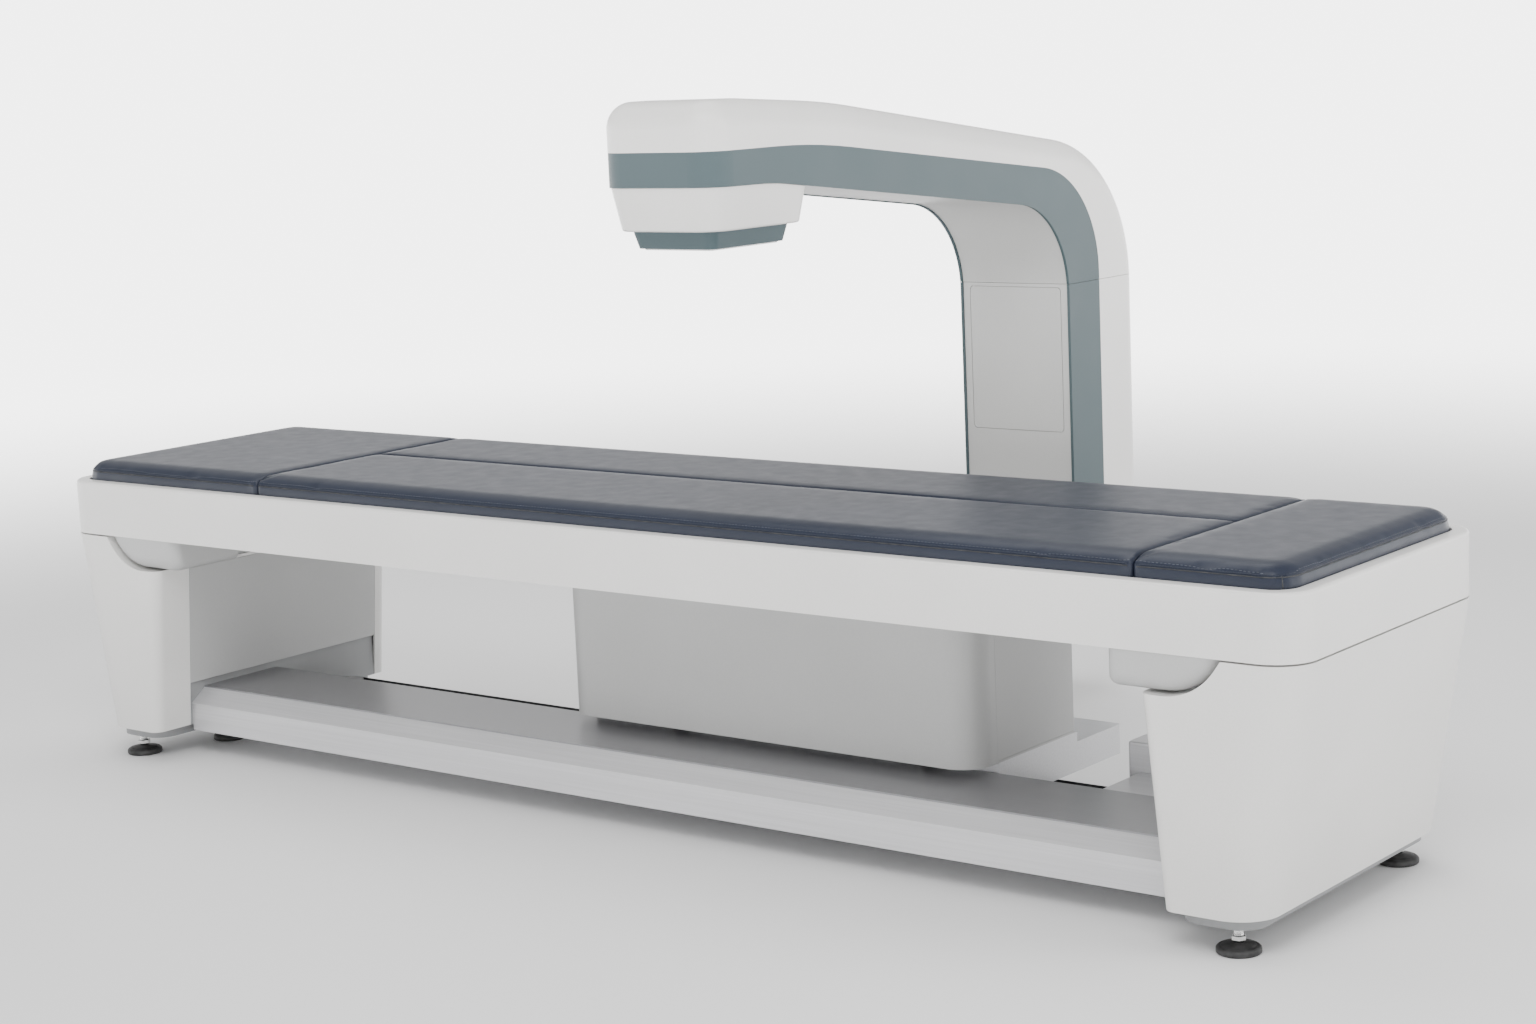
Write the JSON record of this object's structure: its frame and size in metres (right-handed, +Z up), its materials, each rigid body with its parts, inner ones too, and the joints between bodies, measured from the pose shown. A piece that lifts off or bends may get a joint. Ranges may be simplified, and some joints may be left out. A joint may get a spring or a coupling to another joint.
{
  "type": "bone densitometer",
  "caption": "Padded scan table on two end pedestals with a travelling C-arm that carries an X-ray source below and a detector head above the table.",
  "frame": {"origin": "middle of the footprint, on the floor", "axes": "+X along the table, +Y from the table towards the C-arm's column, +Z up"},
  "size_m": [2.78, 1.487, 1.29],
  "materials": {
    "white_shell": "satin",
    "grey_panel": "satin",
    "trim_band": "satin",
    "leatherette": "fine grain",
    "beam_metal": "anodised satin",
    "tread_strip": "satin",
    "frame_paint": "powder coat",
    "foot_rubber": "matt",
    "rail_steel": "ground",
    "roller_tyre": "matt",
    "belt_rubber": "matt",
    "motor_black": "matt",
    "tank_metal": "powder coat",
    "lead_alloy": "dull",
    "board_laminate": "smooth",
    "pale_window": "smooth"
  },
  "bodies": {
    "base": {"pedestal_shell_left": "white_shell", "pedestal_shell_right": "white_shell", "pedestal_panels": "grey_panel", "pedestal_frames": "frame_paint", "plinths": "frame_paint", "front_beam": "beam_metal", "front_tread": "tread_strip", "rear_beam": "beam_metal", "linear_rails": "rail_steel", "drive_belt": "belt_rubber", "drive_motor": "motor_black", "motor_cover": "beam_metal", "duct_cover": "beam_metal", "screw_drive": "rail_steel", "electronics_units": "tank_metal", "mains_inlet": "motor_black"},
    "table": {"table_tray": "white_shell", "table_board": "board_laminate", "cushion_left_end": "leatherette", "cushion_right_end": "leatherette", "cushion_front": "leatherette", "cushion_rear": "leatherette", "table_stretchers": "frame_paint", "table_brackets": "grey_panel", "table_bearing_blocks": "rail_steel", "screw_nut": "rail_steel"},
    "c_arm": {"carriage_saddle": "beam_metal", "carriage_bearings": "rail_steel", "carriage_fittings": "rail_steel", "source_housing": "grey_panel", "source_side_panel": "grey_panel", "source_tank": "tank_metal", "collimator": "lead_alloy", "filter_drive": "motor_black", "arm_shell": "white_shell", "column_shell": "white_shell", "arm_band": "trim_band", "column_bands": "trim_band", "arm_liner": "grey_panel", "column_panel": "grey_panel", "access_door": "grey_panel", "arm_spine": "frame_paint", "lower_arm_cover": "grey_panel", "head_block": "white_shell", "sensor_cover": "trim_band", "head_window": "pale_window", "detector_unit": "tank_metal"},
    "table_screw": {"table_screw": "rail_steel"},
    "idle_pulley": {"idle_pulley": "rail_steel"},
    "drive_pulley": {"drive_pulley": "rail_steel"},
    "roller_left": {"roller_left": "roller_tyre"},
    "roller_right": {"roller_right": "roller_tyre"},
    "filter_wheel": {"filter_wheel": "lead_alloy"},
    "shutter": {"shutter": "lead_alloy"},
    "foot_front_left": {"foot_front_left": "foot_rubber"},
    "foot_front_right": {"foot_front_right": "foot_rubber"},
    "foot_rear_left": {"foot_rear_left": "foot_rubber"},
    "foot_rear_right": {"foot_rear_right": "foot_rubber"},
    "foot_mid_left": {"foot_mid_left": "foot_rubber"},
    "foot_mid_right": {"foot_mid_right": "foot_rubber"}
  },
  "joints": [
    {"name": "table_slide", "type": "slide", "parent": "base", "child": "table", "axis": [0, 1, 0], "range_m": [-0.12, 0.12]},
    {"name": "screw_turn", "type": "hinge", "parent": "base", "child": "table_screw", "pos_m": [1.178, -0.4235, 0.353], "axis": [0, 1, 0], "continuous": true},
    {"name": "arm_slide", "type": "slide", "parent": "base", "child": "c_arm", "axis": [1, 0, 0], "range_m": [-0.78, 0.16]},
    {"name": "idle_pulley_turn", "type": "hinge", "parent": "base", "child": "idle_pulley", "pos_m": [-1.128, -0.2335, 0.07], "axis": [0, 0, 1], "continuous": true},
    {"name": "drive_pulley_turn", "type": "hinge", "parent": "base", "child": "drive_pulley", "pos_m": [0.891, -0.2335, 0.07], "axis": [0, 0, 1], "continuous": true},
    {"name": "roller_left_turn", "type": "hinge", "parent": "c_arm", "child": "roller_left", "pos_m": [-0.054, -0.4265, 0.1423], "axis": [0, 1, 0], "continuous": true},
    {"name": "roller_right_turn", "type": "hinge", "parent": "c_arm", "child": "roller_right", "pos_m": [0.506, -0.4265, 0.1423], "axis": [0, 1, 0], "continuous": true},
    {"name": "filter_turn", "type": "hinge", "parent": "c_arm", "child": "filter_wheel", "pos_m": [0.126, -0.413, 0.405], "axis": [0, 0, 1], "continuous": true},
    {"name": "shutter_swing", "type": "hinge", "parent": "c_arm", "child": "shutter", "pos_m": [0.064, -0.459, 0.414], "axis": [0, 0, 1], "range_deg": [0, 40]},
    {"name": "foot_front_left_screw", "type": "slide", "parent": "base", "child": "foot_front_left", "axis": [0, 0, 1], "range_m": [-0.012, 0.01]},
    {"name": "foot_front_right_screw", "type": "slide", "parent": "base", "child": "foot_front_right", "axis": [0, 0, 1], "range_m": [-0.012, 0.01]},
    {"name": "foot_rear_left_screw", "type": "slide", "parent": "base", "child": "foot_rear_left", "axis": [0, 0, 1], "range_m": [-0.012, 0.01]},
    {"name": "foot_rear_right_screw", "type": "slide", "parent": "base", "child": "foot_rear_right", "axis": [0, 0, 1], "range_m": [-0.012, 0.01]},
    {"name": "foot_mid_left_screw", "type": "slide", "parent": "base", "child": "foot_mid_left", "axis": [0, 0, 1], "range_m": [-0.012, 0.01]},
    {"name": "foot_mid_right_screw", "type": "slide", "parent": "base", "child": "foot_mid_right", "axis": [0, 0, 1], "range_m": [-0.012, 0.01]}
  ],
  "couplings": [
    {"joint": "screw_turn", "follows": "table_slide", "rad_per_m": 628.32},
    {"joint": "idle_pulley_turn", "follows": "arm_slide", "rad_per_m": 38.388},
    {"joint": "drive_pulley_turn", "follows": "arm_slide", "rad_per_m": 38.388},
    {"joint": "roller_left_turn", "follows": "arm_slide", "rad_per_m": 142.86},
    {"joint": "roller_right_turn", "follows": "arm_slide", "rad_per_m": 142.86}
  ]
}
